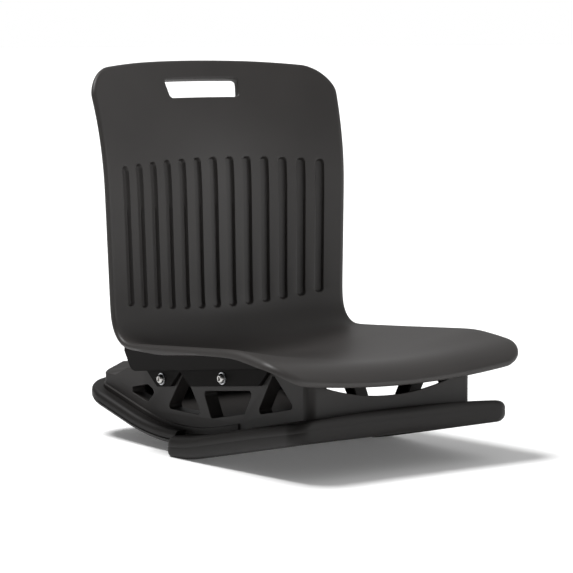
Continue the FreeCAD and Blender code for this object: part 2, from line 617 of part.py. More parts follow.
def make_rocker_base():
    """The base's solid."""
    pan_wall = size("pan_wall")
    wall = size("box_wall")
    half = size("box_half_width")
    pan = rocker_band(0, pan_wall).common(plan_prism(pan_outline(0)))
    lip_ring = plan_prism(pan_outline(0)).cut(plan_prism(pan_outline(pan_wall)))
    lip = rocker_band(0, size("lip_depth")).common(lip_ring)
    walls = plan_prism(box_outline(0)).cut(plan_prism(box_outline(wall)))
    walls = walls.common(rocker_band(-FAR / 4, pan_wall / 2))
    rail_end_y = size("keel_y") - (size("rail_front_height") - size("rail_height")) / math.tan(
        math.radians(size("rail_slope")))
    rail_rear_z = rail_height_at(size("tail_rise_y"), size("rail_height"))
    past_front = size("box_front_y") - wall
    past_rear = size("box_rear_y") + wall
    over_sides = [(past_front, size("rail_front_height"), 0), (rail_end_y, size("rail_front_height"), 0),
                  (size("tail_rise_y"), rail_rear_z, 0), (size("tail_flat_y"), size("tail_height"), 0),
                  (past_rear, size("tail_height"), 0), (past_rear, FAR, 0), (past_front, FAR, 0)]
    side_reach = size("box_corner") + wall
    for side in (-1, 1):
        walls = walls.cut(side_prism(over_sides, side * (half - side_reach), side * (half + wall)))
    deck_top = mirrored_outline([(half, size("tail_height"), 0),
                                 (size("rear_shoulder"), size("rear_wall_height"), 0)])
    over_rear = [(half + wall, FAR, 0), (half + wall, size("tail_height"), 0)] + deck_top
    over_rear = over_rear + [(-half - wall, size("tail_height"), 0), (-half - wall, FAR, 0)]
    walls = walls.cut(front_prism(over_rear, size("box_rear_y") - side_reach, past_rear))
    plinth = plan_prism(box_outline(-size("plinth_ledge"))).cut(plan_prism(box_outline(wall / 2)))
    plinth = plinth.common(rocker_band(-size("plinth_height"), 0))
    plinth = plinth.common(Part.makeBox(FAR, FAR, FAR, Vector(-FAR / 2, size("plinth_front_y"), 0)))
    deck_foot = [(x, z - wall, 0) for x, z, _ in reversed(deck_top)]
    deck = front_prism(deck_top + deck_foot, size("deck_front_y"), size("box_rear_y"))
    deck = deck.common(plan_prism(box_outline(0)))
    dip_centre = Vector(0, past_front, size("front_dip_height") + size("front_dip_radius"))
    dip = rod(dip_centre, Vector(0, 1, 0), size("front_dip_radius"), side_reach)
    between = half - wall
    dip_range = Part.makeBox(2 * between, side_reach, FAR, Vector(-between, past_front, 0))
    walls = walls.cut(dip.common(dip_range))
    solids = [pan, lip, plinth, deck]
    cuts = []
    for side in (-1, 1):
        outer = side * half
        inner = side * (half - size("window_depth"))
        for corners in window_outlines():
            window = rounded_wire(corners, lambda y, z: Vector(outer, y, z))
            collar = Part.Face(window).makeOffset2D(size("window_collar"))
            solids.append(collar.extrude(Vector(inner - outer, 0, 0)))
            cuts.append(side_prism(corners, side * (half + wall), inner - side * wall))
        for y, z in bolt_places():
            inward = Vector(-side, 0, 0)
            depth = size("window_depth")
            solids.append(rod(Vector(outer, y, z), inward, size("boss_outer") / 2, depth))
            hole_radius = size("sleeve_outer") / 2 + size("fastener_gap")
            cuts.append(rod(Vector(outer + side * wall, y, z), inward, hole_radius, depth + 2 * wall))
    base = walls.multiFuse(solids)
    for start, along in front_tappers() + rear_tappers():
        hole_radius = size("tapper_diameter") / 2 + size("fastener_gap")
        cuts.append(rod(start - along * pan_wall, along, hole_radius, 3 * pan_wall))
    return base.cut(Part.Compound(cuts)).removeSplitter()


# Runner screws: each one's seat on the inside of the lip and its direction
def side_tappers(first_y, step):
    """Two screws on each side of the pan, pointing outwards."""
    inside = size("pan_half_width") - size("pan_wall")
    places = []
    for side in (-1, 1):
        for y in (first_y, first_y + step):
            z = pan_height_at(y) - size("tapper_drop")
            places.append((Vector(side * inside, y, z), Vector(side, 0, 0)))
    return places


def end_tappers(x, y, along):
    """Two screws at an end of the pan, pointing outwards."""
    z = pan_height_at(y) - size("tapper_drop")
    return [(Vector(side * x, y, z), Vector(0, along, 0)) for side in (-1, 1)]


def front_tappers():
    """Screws of the front runner."""
    sides = side_tappers(size("front_side_tapper_y"), -size("front_side_tapper_pitch"))
    return sides + end_tappers(size("front_tapper_x"), size("pan_front_y") + size("pan_wall"), -1)


def rear_tappers():
    """Screws of the rear runner."""
    sides = side_tappers(size("rear_side_tapper_y"), size("rear_side_tapper_pitch"))
    return sides + end_tappers(size("rear_tapper_x"), size("pan_rear_y") - size("pan_wall"), 1)


add_piece("rocker_base", make_rocker_base())


# Runners: the two lengths of rim round the pan, rounded outside; the front one stands on the floor
def outer_edges(solid, outline):
    """Edges of a runner that lie on its outer skin."""
    wire = rounded_wire(outline, lambda x, y: Vector(x, y, -FAR / 2))
    skin = wire.extrude(Vector(0, 0, 2 * FAR))
    found = []
    for edge in solid.Edges:
        middle = edge.valueAt((edge.FirstParameter + edge.LastParameter) / 2)
        if skin.distToShape(Part.Vertex(middle))[0] < 1e-3:
            found.append(edge)
    return found


def make_front_runner():
    """Front runner: a deep rounded bar, cut level where it rests on the floor."""
    corner = size("front_runner_corner")
    outline = plan_outline(size("front_runner_half_width"), size("front_runner_y"), FAR, corner, corner, 0)
    ring = plan_prism(outline).cut(plan_prism(pan_outline(0)))
    front_half = Part.makeBox(FAR, FAR, FAR, Vector(-FAR / 2, size("runner_split_y") - FAR, -FAR / 2))
    bar = rocker_band(0, size("front_runner_drop")).common(ring).common(front_half)
    bar = bar.makeFillet(size("front_runner_round"), outer_edges(bar, outline))
    return bar.cut(Part.makeBox(FAR, FAR, FAR, Vector(-FAR / 2, -FAR / 2, -FAR)))


def make_rear_runner():
    """Rear runner: a slimmer rounded bar."""
    corner = size("rear_runner_corner")
    outline = plan_outline(size("rear_runner_half_width"), -FAR, size("rear_runner_y"), corner, corner, 0)
    ring = plan_prism(outline).cut(plan_prism(pan_outline(0)))
    start_y = size("runner_split_y") + size("runner_gap")
    rear_half = Part.makeBox(FAR, FAR, FAR, Vector(-FAR / 2, start_y, -FAR / 2))
    bar = rocker_band(-size("rear_runner_rise"), size("rear_runner_drop")).common(ring).common(rear_half)
    return bar.makeFillet(size("rear_runner_round"), outer_edges(bar, outline))


def with_tapper_holes(runner, tappers):
    """A runner with the pilot holes of its screws."""
    depth = size("tapper_length") - size("pan_wall") + size("fastener_gap")
    radius = size("tapper_diameter") / 2 + size("fastener_gap")
    holes = [rod(start + along * size("pan_wall"), along, radius, depth) for start, along in tappers]
    return runner.cut(Part.Compound(holes))


add_piece("front_runner", with_tapper_holes(make_front_runner(), front_tappers()))
add_piece("rear_runner", with_tapper_holes(make_rear_runner(), rear_tappers()))


# Seat brackets: a block that fits under the shell, its outer face flared, with two tabs over the base's wall
def bracket_line(y, drop):
    """Height of the bracket's lower edge, or of a line below it."""
    return rail_height_at(y, size("bracket_foot")) - drop


def tab_outline(middle, half):
    """Side view of a tab: its ends spread towards the block."""
    wide = half + size("tab_slant")
    corner = size("window_corner")
    overlap = size("tab_thickness")
    return [(middle + half, bracket_line(middle + half, size("tab_drop")), corner),
            (middle + wide, bracket_line(middle + wide, 0), 0),
            (middle + wide, bracket_line(middle + wide, -overlap), 0),
            (middle - wide, bracket_line(middle - wide, -overlap), 0),
            (middle - wide, bracket_line(middle - wide, 0), 0),
            (middle - half, bracket_line(middle - half, size("tab_drop")), corner)]


def make_bracket(side):
    """Bracket of one side, +1 for +X."""
    inner_x = size("box_half_width") + size("bracket_gap")
    tab_x = inner_x + size("tab_thickness")
    top_x = size("bracket_outer_x") + size("bracket_flare")
    front_y = size("bracket_front_y")
    rear_y = size("bracket_rear_y")
    over = size("bracket_overlap")
    bend_rise = size("bend_radius") / 2
    block = [(front_y, bracket_line(front_y, 0), 0), (rear_y, bracket_line(rear_y, 0), size("bracket_round")),
             (rear_y, size("seat_low_height") + bend_rise, 0),
             (size("bend_y"), seat_underside(top_x, size("bend_y")) + over, 0),
             (front_y, seat_underside(top_x, front_y) + over, 0)]
    bracket = side_prism(block, side * inner_x, side * top_x)
    (bolt_rear_y, _), (bolt_front_y, _) = bolt_places()
    tabs = [side_prism(tab_outline(bolt_rear_y + size("rear_tab_offset"), size("rear_tab_half")),
                       side * inner_x, side * tab_x),
            side_prism(tab_outline(bolt_front_y + size("front_tab_offset"), size("front_tab_half")),
                       side * inner_x, side * tab_x)]
    foot = size("bracket_foot")
    outer_x = size("bracket_outer_x")
    beyond = [(side * outer_x, foot - FAR, 0), (side * outer_x, foot, 0),
              (side * top_x, foot + size("bracket_flare_height"), 0), (side * top_x, FAR, 0),
              (side * FAR, FAR, 0), (side * FAR, foot - FAR, 0)]
    flare = front_prism(beyond, -FAR, FAR)
    flare.rotate(Vector(0, size("keel_y"), foot), Vector(1, 0, 0), -size("rail_slope"))
    bracket = bracket.cut(flare).multiFuse(tabs)
    bracket = bracket.cut(shell_layer(-size("bracket_clear"), size("shell_wall") + size("bracket_gap")))
    cuts = []
    up = Vector(0, 0, 1)
    for x, y, end_z in shell_screw_places():
        if x * side < 0:
            continue
        boss_radius = size("seat_boss_outer") / 2 + size("bracket_gap")
        floor_top = end_z - size("bracket_gap")
        floor_foot = floor_top - size("screw_floor")
        cuts.append(rod(Vector(x, y, floor_top), up, boss_radius, 3 * size("seat_boss_length")))
        screw_radius = size("screw_diameter") / 2 + size("fastener_gap")
        cuts.append(rod(Vector(x, y, floor_foot), up, screw_radius, 2 * size("screw_floor")))
        head_radius = size("screw_head") / 2 + size("bracket_gap")
        cuts.append(rod(Vector(x, y, floor_foot), -up, head_radius, FAR / 4))
    for y, z in bolt_places():
        bolt_radius = size("bolt_diameter") / 2 + size("fastener_gap")
        start = Vector(side * (inner_x - size("tab_thickness")), y, z)
        cuts.append(rod(start, Vector(side, 0, 0), bolt_radius, 3 * size("tab_thickness")))
    return bracket.cut(Part.Compound(cuts))


add_piece("left_seat_bracket", make_bracket(1))
add_piece("right_seat_bracket", make_bracket(-1))


# Fasteners: one bound master of each kind, standing on +Z, and a group of its copies
def bound(kind, name, **expressions):
    """Primitive whose sizes are bound to the sheet."""
    item = doc.addObject(kind, name)
    for property_name, expression in expressions.items():
        item.setExpression(property_name, expression)
    return item


def combined(kind, name, base, tool):
    """Boolean of two objects."""
    item = doc.addObject(kind, name)
    item.Base = base
    item.Tool = tool
    return item


def tube(name, outer, inner, length):
    """Tube with bound radii and length."""
    solid = bound("Part::Cylinder", name + "_outside", Radius=outer, Height=length)
    bore = bound("Part::Cylinder", name + "_bore", Radius=inner, Height=length)
    return combined("Part::Cut", name, solid, bore)


def headed_screw(name, head, head_height, diameter, length):
    """Pan-head screw: the head stands below z = 0 and the shank above it."""
    cap = bound("Part::Cylinder", name + "_head", Radius=head + "/2", Height=head_height)
    cap.setExpression("Placement.Base.z", "-" + head_height)
    shank = bound("Part::Cylinder", name + "_shank", Radius=diameter + "/2", Height=length)
    return combined("Part::Fuse", name, cap, shank)


BOLT_BORE = "sizes.bolt_diameter/2 + sizes.fastener_gap"
grip = "sizes.washer_thickness + sizes.tab_thickness + sizes.bracket_gap + sizes.window_depth"
bolt_head = bound("Part::Cone", "bolt_cap", Radius1="sizes.bolt_head*0.3", Radius2="sizes.bolt_head/2",
                  Height="sizes.bolt_head_height")
bolt_head.setExpression("Placement.Base.z", "-sizes.bolt_head_height")
bolt_shank = bound("Part::Cylinder", "bolt_shank", Radius="sizes.bolt_diameter/2",
                   Height=grip + " + sizes.nut_height + sizes.bolt_diameter/4")
bolt_blank = combined("Part::Fuse", "bolt_blank", bolt_head, bolt_shank)
bolt_socket = bound("Part::Prism", "bolt_hexagon", Circumradius="sizes.bolt_socket/sqrt(3)",
                    Height="sizes.bolt_head_height*0.6")
bolt_socket.Polygon = 6
bolt_socket.setExpression("Placement.Base.z", "-sizes.bolt_head_height")
bolt = combined("Part::Cut", "bolt", bolt_blank, bolt_socket)
washer = tube("washer", "sizes.washer_outer/2", BOLT_BORE, "sizes.washer_thickness")
sleeve = tube("sleeve", "sizes.sleeve_outer/2", BOLT_BORE, "sizes.window_depth + sizes.bracket_gap")
nut_blank = bound("Part::Prism", "nut_blank", Circumradius="sizes.nut_flats/sqrt(3)",
                  Height="sizes.nut_height")
nut_blank.Polygon = 6
nut_bore = bound("Part::Cylinder", "nut_bore", Radius=BOLT_BORE, Height="sizes.nut_height")
nut = combined("Part::Cut", "nut", nut_blank, nut_bore)
insert = tube("insert", "sizes.insert_outer/2", "sizes.screw_diameter/2 + sizes.fastener_gap",
              "sizes.insert_length")
shell_screw = headed_screw("shell_screw", "sizes.screw_head", "sizes.screw_head_height",
                           "sizes.screw_diameter",
                           "sizes.screw_floor + sizes.bracket_gap + sizes.insert_length")
tapper = headed_screw("tapper", "sizes.tapper_head", "sizes.tapper_head_height", "sizes.tapper_diameter",
                      "sizes.tapper_length")
doc.recompute()


def add_group(name, master, places):
    """Named group of copies of a master, each at a point and turned along a direction."""
    copies = []
    for start, along in places:
        copy = master.Shape.copy()
        copy.Placement = FreeCAD.Placement(start, Rotation(Vector(0, 0, 1), along)).multiply(copy.Placement)
        copies.append(copy)
    return add_piece(name, Part.Compound(copies))


def bolt_row(x):
    """The four bolt axes at a distance from the chair's middle, pointing inwards."""
    return [(Vector(side * x, y, z), Vector(-side, 0, 0)) for side in (-1, 1) for y, z in bolt_places()]


tab_face = size("box_half_width") + size("bracket_gap") + size("tab_thickness")
nut_face = size("box_half_width") - size("window_depth")
add_group("bracket_bolts", bolt, bolt_row(tab_face + size("washer_thickness")))
add_group("bolt_washers", washer, bolt_row(tab_face + size("washer_thickness")))
add_group("bolt_sleeves", sleeve, bolt_row(size("box_half_width") + size("bracket_gap")))
add_group("bolt_nuts", nut, bolt_row(nut_face))
upwards = Vector(0, 0, 1)
boss_ends = [Vector(*place) for place in shell_screw_places()]
head_seat = Vector(0, 0, size("bracket_gap") + size("screw_floor"))
add_group("shell_inserts", insert, [(end, upwards) for end in boss_ends])
add_group("shell_screws", shell_screw, [(end - head_seat, upwards) for end in boss_ends])
add_group("front_runner_screws", tapper, front_tappers())
add_group("rear_runner_screws", tapper, rear_tappers())

PIECES = ("seat_shell", "rocker_base", "front_runner", "rear_runner", "left_seat_bracket",
          "right_seat_bracket", "bracket_bolts", "bolt_washers", "bolt_sleeves", "bolt_nuts",
          "shell_inserts", "shell_screws", "front_runner_screws", "rear_runner_screws")

# Frame: the origin goes to the middle of the chair's plan, on the floor
span = FreeCAD.BoundBox()
for name in PIECES:
    span.add(doc.getObject(name).Shape.optimalBoundingBox(False))
for name in PIECES:
    doc.getObject(name).Placement = FreeCAD.Placement(Vector(0, -span.Center.y, -span.ZMin), Rotation())

# Every object has to be sound before anything is written
doc.recompute()
for item in doc.Objects:
    if "Invalid" in item.State or "Error" in item.State:
        raise RuntimeError("object failed: " + item.Name)
os.makedirs("parts", exist_ok=True)
for name in PIECES:
    shape = doc.getObject(name).Shape
    if shape.isNull() or not shape.isValid():
        raise RuntimeError("bad shape: " + name)
    print(name, len(shape.Solids), round(shape.Volume))
for name in PIECES:
    piece = doc.getObject(name)
    piece.Shape.exportStep("parts/%s.step" % piece.Label)
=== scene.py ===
import math

import bmesh
import bpy
import numpy as np
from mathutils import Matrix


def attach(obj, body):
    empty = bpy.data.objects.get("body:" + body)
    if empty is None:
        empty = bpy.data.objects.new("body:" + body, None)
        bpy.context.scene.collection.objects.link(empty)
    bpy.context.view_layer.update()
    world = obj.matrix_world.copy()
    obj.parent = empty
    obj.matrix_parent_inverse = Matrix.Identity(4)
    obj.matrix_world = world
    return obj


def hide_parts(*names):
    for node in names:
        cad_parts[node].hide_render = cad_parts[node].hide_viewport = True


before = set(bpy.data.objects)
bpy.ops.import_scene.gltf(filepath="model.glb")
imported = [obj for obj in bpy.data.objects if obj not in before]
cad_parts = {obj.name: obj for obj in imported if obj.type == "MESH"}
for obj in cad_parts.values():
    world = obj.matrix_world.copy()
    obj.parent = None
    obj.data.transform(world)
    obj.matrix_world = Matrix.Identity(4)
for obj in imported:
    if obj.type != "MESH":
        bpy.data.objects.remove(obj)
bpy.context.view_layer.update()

# Rocker base: the curved pan and the truss walls that stand on it, one injection moulding
# in charcoal plastic with a fine spark texture. Its moulded edges are slightly rounded.
MM = 0.001
FLOW_SCALE, FLOW_DETAIL, FLOW_BAND = 9.0, 3.0, (0.3, 0.7)
TINT_SHARES, GLOSS_SPREAD = (0.9, 1.1), 0.04
SKIN_DETAIL, SKIN_STRENGTH = 2.0, 0.35
DOUBLES_GAP, FLAT_ANGLE, EDGE_ANGLE = 0.002, math.radians(0.6), math.radians(40)


def moulded_plastic(name, colour, roughness, shine, grain, bite):
    """Dyed plastic with a spark-eroded skin: grain is the texture's size and bite its depth, in millimetres.
    A broad noise shifts the colour and the gloss a little, as the melt's flow does."""
    material = bpy.data.materials.new(name)
    material.use_nodes = True
    nodes, links = material.node_tree.nodes, material.node_tree.links
    shader = nodes["Principled BSDF"]
    shader.inputs["Specular IOR Level"].default_value = shine
    place = nodes.new("ShaderNodeTexCoord")
    flow = nodes.new("ShaderNodeTexNoise")
    flow.inputs["Scale"].default_value = FLOW_SCALE
    flow.inputs["Detail"].default_value = FLOW_DETAIL
    links.new(place.outputs["Object"], flow.inputs["Vector"])
    tint = nodes.new("ShaderNodeValToRGB")
    for stop, share, position in zip(tint.color_ramp.elements, TINT_SHARES, FLOW_BAND):
        stop.color = [channel * share for channel in colour] + [1.0]
        stop.position = position
    links.new(flow.outputs["Fac"], tint.inputs["Fac"])
    links.new(tint.outputs["Color"], shader.inputs["Base Color"])
    gloss = nodes.new("ShaderNodeMapRange")
    gloss.inputs["To Min"].default_value = roughness - GLOSS_SPREAD
    gloss.inputs["To Max"].default_value = roughness + GLOSS_SPREAD
    links.new(flow.outputs["Fac"], gloss.inputs["Value"])
    links.new(gloss.outputs["Result"], shader.inputs["Roughness"])
    skin = nodes.new("ShaderNodeTexNoise")
    skin.inputs["Scale"].default_value = 1.0 / (grain * MM)
    skin.inputs["Detail"].default_value = SKIN_DETAIL
    links.new(place.outputs["Object"], skin.inputs["Vector"])
    relief = nodes.new("ShaderNodeBump")
    relief.inputs["Strength"].default_value = SKIN_STRENGTH
    relief.inputs["Distance"].default_value = bite * MM
    links.new(skin.outputs["Fac"], relief.inputs["Height"])
    links.new(relief.outputs["Normal"], shader.inputs["Normal"])
    return material


def softened(name, node, edge):
    """Copy of a CAD node's mesh with its doubles merged, its flat faces joined and its sharp edges rounded by
    an edge width in millimetres."""
    mesh = bpy.data.meshes.new(name)
    shape = bmesh.new()
    shape.from_mesh(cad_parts[node].data)
    bmesh.ops.remove_doubles(shape, verts=shape.verts, dist=DOUBLES_GAP * MM)
    bmesh.ops.dissolve_limit(shape, angle_limit=FLAT_ANGLE, verts=shape.verts, edges=shape.edges)
    shape.to_mesh(mesh)
    shape.free()
    mesh.materials.clear()
    piece = bpy.data.objects.new(name, mesh)
    bpy.context.scene.collection.objects.link(piece)
    rounding = piece.modifiers.new("edge_rounding", "BEVEL")
    rounding.width = edge * MM
    rounding.segments = 2
    rounding.limit_method = "ANGLE"
    rounding.angle_limit = EDGE_ANGLE
    rounding.use_clamp_overlap = False
    mesh.shade_smooth()
    mesh.set_sharp_from_angle(angle=EDGE_ANGLE)
    return piece


base_plastic = moulded_plastic("base_plastic", colour=(0.0195, 0.0176, 0.0167), roughness=0.5, shine=0.25,
                               grain=0.9, bite=0.12)
base = softened("moulded_base", "rocker_base", edge=0.7)
base.data.materials.append(base_plastic)
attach(base, "root")
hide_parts("rocker_base")

# Runners: the front and the rear half of the rim, each a rounded bar bent round the pan's edge.
# They are charcoal plastic too, a little glossier, darker than the base partly as painted shade, and screwed to
# the pan's lip from inside.
Y_SHIFT = 19.036
KEEL_Y, KEEL_Z, KEEL_RADIUS = 25.0, 28.0, 450.0
FRONT_SLOPE, REAR_SLOPE = math.radians(12.0), math.radians(14.0)
ARCH_START_Y, ARCH_RUN, ARCH_HALF, ARCH_FALL = -130.0, 160.0, 175.0, 1.9
CORNER_POINTS, END_POINTS, ROUND_POINTS = 15, 25, 9
CREASE_SHAPE, CREASE_STEPS = np.array([0, 0.7, 1, 0.7, 0]), 0.8 * np.array([-2, -1, 0, 1, 2])
TO_PAN_EDGE, LEAST_END = 1e3, 0.2
CREASE_ANGLE = math.radians(50)


def pan_top(y):
    """Height of the pan's top and its slope: an arc at the keel that runs into a straight slope each way."""
    away = y - KEEL_Y
    slope = np.where(away > 0, REAR_SLOPE, FRONT_SLOPE)
    arc_end = KEEL_RADIUS * np.sin(slope)
    on_arc = np.minimum(np.abs(away), arc_end)
    height = KEEL_Z + KEEL_RADIUS - np.sqrt(KEEL_RADIUS ** 2 - on_arc ** 2)
    turn = np.arcsin(on_arc / KEEL_RADIUS)
    return height + (np.abs(away) - on_arc) * np.tan(turn), turn


def round_u(half, end_y, corner, sides):
    """Plan of a U: down one side at the given y places, round a corner, across the end, round and back up."""
    way = np.sign(end_y - sides[0])
    turn = np.linspace(0, math.pi / 2, CORNER_POINTS)
    reach = end_y - way * corner
    along = sides[0] + (sides - sides[0]) / (sides[-1] - sides[0]) * (reach - sides[0])
    side = np.stack([np.full_like(along, half), along], axis=1)
    arc = np.stack([half - corner + corner * np.cos(turn), reach + way * corner * np.sin(turn)], axis=1)
    across = np.linspace(half - corner, -(half - corner), END_POINTS)
    end = np.stack([across, np.full_like(across, end_y)], axis=1)
    mirror = np.array([-1.0, 1.0])
    return np.concatenate([side, arc[1:], end[1:-1], arc[::-1][:-1] * mirror, side[::-1] * mirror])


def bar_section(depth, rise, radius, crease, crease_bite):
    """Section of a bar as inset from its outer face and drop below the pan's top: a flat top, a round, a face
    with a shallow crease, a round and a flat foot. The first and last point are on the pan's edge."""
    turn = np.linspace(0, math.pi / 2, ROUND_POINTS)
    top_in, top_drop = radius * (1 - np.sin(turn)), radius * (1 - np.cos(turn)) - rise
    line_in, line_drop = crease_bite * CREASE_SHAPE, crease + CREASE_STEPS
    inset = np.concatenate([[TO_PAN_EDGE], top_in, line_in, top_in[::-1], [TO_PAN_EDGE]])
    drop = np.concatenate([[-rise], top_drop, line_drop, (depth - rise - top_drop)[::-1], [depth]])
    return inset, drop


def rim_bar(name, inner, outer, section, end_round, arch):
    """A section carried along the rim: each ring lies between the pan's edge and the outer line, and its ends
    are drawn in along a quarter circle of the end radius, as much in height from below and half as much from
    above. Across the front its top is arched: the arch's height in the middle, less the square of the place
    across times the arch's fall."""
    inset, drop = section
    open_end = np.abs(outer[:, 1] - outer[0, 1])
    short = np.clip(end_round - open_end, 0, end_round)
    drawn_in = end_round - np.sqrt(end_round ** 2 - short ** 2)
    width = np.linalg.norm(outer - inner, axis=1)
    cut = np.minimum(inset[None, :] + drawn_in[:, None], width[:, None])
    plan = outer[:, None, :] + (inner - outer)[:, None, :] * (cut / width[:, None])[:, :, None]
    middle = (drop.max() + drop.min()) / 2
    squeeze = 1 - np.where(drop < middle, 0.5, 1.0) * drawn_in[:, None] / (drop.max() - middle)
    level = middle + (drop[None, :] - middle) * np.maximum(squeeze, LEAST_END)
    height, turn = pan_top(plan[:, :, 1])
    across_front = np.clip((ARCH_START_Y - plan[:, :, 1]) / ARCH_RUN, 0, 1) ** 2
    upper = np.clip((drop.max() - drop) / (drop.max() - drop.min()), 0, 1)[None, :]
    arched = arch * (1 - ARCH_FALL * (plan[:, :, 0] / ARCH_HALF) ** 2) * across_front * upper
    z = np.maximum(height - level / np.cos(turn) + arched, 0.0)
    points = np.stack([plan[:, :, 0], plan[:, :, 1] + Y_SHIFT, z], axis=2)
    rings, around = points.shape[:2]
    index = np.arange(rings * around).reshape(rings, around)
    after = np.roll(index, -1, axis=1)
    quads = np.stack([index[:-1], index[1:], after[1:], after[:-1]], axis=2).reshape(-1, 4)
    faces = quads.tolist() + [index[0].tolist(), index[-1][::-1].tolist()]
    return meshed(name, points.reshape(-1, 3), faces)


def meshed(name, points, faces):
    """Smooth mesh object from points in millimetres, its faces turned outwards."""
    mesh = bpy.data.meshes.new(name)
    mesh.from_pydata((points * MM).tolist(), [], faces)
    shape = bmesh.new()
    shape.from_mesh(mesh)
    bmesh.ops.recalc_face_normals(shape, faces=shape.faces)
    shape.to_mesh(mesh)
    shape.free()
    mesh.shade_smooth()
    mesh.set_sharp_from_angle(angle=CREASE_ANGLE)
    piece = bpy.data.objects.new(name, mesh)
    bpy.context.scene.collection.objects.link(piece)
    return piece


# partly painted shade: the runners' colour, about half the base's, is their own dark tone made darker to stand
# in for the shade on their near sides
runner_plastic = moulded_plastic("runner_plastic", colour=(0.0105, 0.0094, 0.0089), roughness=0.5, shine=0.17,
                                 grain=0.9, bite=0.1)
SPLIT_Y, SPLIT_GAP = 10.0, 0.3
end_places = np.array([0, 0.15, 0.6, 1.4, 2.6, 4.2, 6.2, 9.0, 12.5])
front_places = SPLIT_Y - np.concatenate([end_places, np.linspace(16, 280, 60)])
front_bar = rim_bar("rounded_front_runner",
                    inner=round_u(half=150.0, end_y=-283.0, corner=42.0, sides=front_places),
                    outer=round_u(half=188.0, end_y=-301.0, corner=24.0, sides=front_places),
                    section=bar_section(depth=32.0, rise=0.0, radius=11.5, crease=14.5, crease_bite=0.4),
                    end_round=16.0, arch=3.5)
rear_places = SPLIT_Y + SPLIT_GAP + np.linspace(0, 210, 60)
rear_bar = rim_bar("rounded_rear_runner",
                   inner=round_u(half=150.0, end_y=252.0, corner=42.0, sides=rear_places),
                   outer=round_u(half=168.0, end_y=269.0, corner=60.0, sides=rear_places),
                   section=bar_section(depth=15.0, rise=5.5, radius=8.0, crease=7.0, crease_bite=0.0),
                   end_round=0.5, arch=0.0)
for bar, node in ((front_bar, "front_runner"), (rear_bar, "rear_runner")):
    bar.data.materials.append(runner_plastic)
    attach(bar, "root")
    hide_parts(node)

# Seat brackets: a moulded block under each side of the shell, whose two tabs hang over the base's wall.
# Matt charcoal plastic, screwed up into the shell and bolted through the base; its colour is painted shade, far
# darker than the base's.
# painted shade: the brackets' colour is about a quarter of the base's, standing in for the shade under the
# seat's overhang
bracket_plastic = moulded_plastic("bracket_plastic", colour=(0.005, 0.0043, 0.004), roughness=0.6, shine=0.06,
                                  grain=0.9, bite=0.12)
for side in ("left", "right"):
    bracket = softened(side + "_moulded_bracket", side + "_seat_bracket", edge=0.8)
    bracket.data.materials.append(bracket_plastic)
    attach(bracket, "root")
    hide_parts(side + "_seat_bracket")

# Seat shell: seat and back in one thin injection moulding of charcoal plastic with a rolled rim,
# thirteen blind flutes pressed into the back, with ribs behind them, and a slot to carry it by.
WALL = 6.0
ARC_STEP = 0.25
SEAT_SLOPE, BACK_LEAN, NOSE_TURN = math.radians(3.6), math.radians(1.8), math.radians(62.0)
NOSE_RADIUS, BEND_RADIUS, FLARE_RADIUS = 46.0, 72.0, 430.0
SEAT_RUN, BACK_RUN, TOP_TURN = 331.77, 161.48, math.radians(28.40)
SEAT_MIDDLE = np.array([-97.56, 138.42])
WAIST_HALF, TOP_HALF, NOSE_HALF = 207.0, 218.0, 219.5
WAIST_Z, TOP_Z, NOSE_Y, WAIST_Y = 199.0, 538.0, -302.0, 104.0
SEAT_LIFT, MORE_BACK_LIFT, NOSE_LIFT = 27.5, 12.5, 11.0
NOSE_FADE_Y, NOSE_FADE_RUN = -185.0, 120.0
TILT_BLUR, LIFT_BLUR, WIDTH_BLUR = 13.0, 12.0, 14.0


def smooth_step(share):
    """Smooth step from 0 to 1."""
    share = np.clip(share, 0, 1)
    return share * share * (3 - 2 * share)


def blurred(values, spread):
    """Values along the profile averaged with a bell curve of this spread in millimetres."""
    reach = int(3 * spread / ARC_STEP)
    bell = np.exp(-0.5 * (np.arange(-reach, reach + 1) * ARC_STEP / spread) ** 2)
    padded = np.pad(values, reach, mode="edge")
    return np.convolve(padded, bell / bell.sum(), mode="valid")


# Side view of the middle: nose, seat, bend, back and flare as runs of constant curvature, blurred, added up
runs = np.array([NOSE_RADIUS * (NOSE_TURN + SEAT_SLOPE), SEAT_RUN,
                 BEND_RADIUS * (math.pi / 2 - BACK_LEAN + SEAT_SLOPE), BACK_RUN,
                 FLARE_RADIUS * (TOP_TURN - BACK_LEAN)])
run_ends = np.concatenate([[0], np.cumsum(runs)])
shell_length = run_ends[-1]
arc = np.arange(0, shell_length + ARC_STEP, ARC_STEP)
corner_tilts = np.array([NOSE_TURN, -SEAT_SLOPE, -SEAT_SLOPE, math.pi / 2 - BACK_LEAN,
                         math.pi / 2 - BACK_LEAN, math.pi / 2 - TOP_TURN])
tilt = blurred(np.interp(arc, run_ends, corner_tilts), TILT_BLUR)
centre_y = np.cumsum(np.cos(tilt)) * ARC_STEP
centre_z = np.cumsum(np.sin(tilt)) * ARC_STEP
seat_middle = run_ends[1] + SEAT_RUN / 2
centre_y += SEAT_MIDDLE[0] - np.interp(seat_middle, arc, centre_y)
centre_z += SEAT_MIDDLE[1] - np.interp(seat_middle, arc, centre_z)

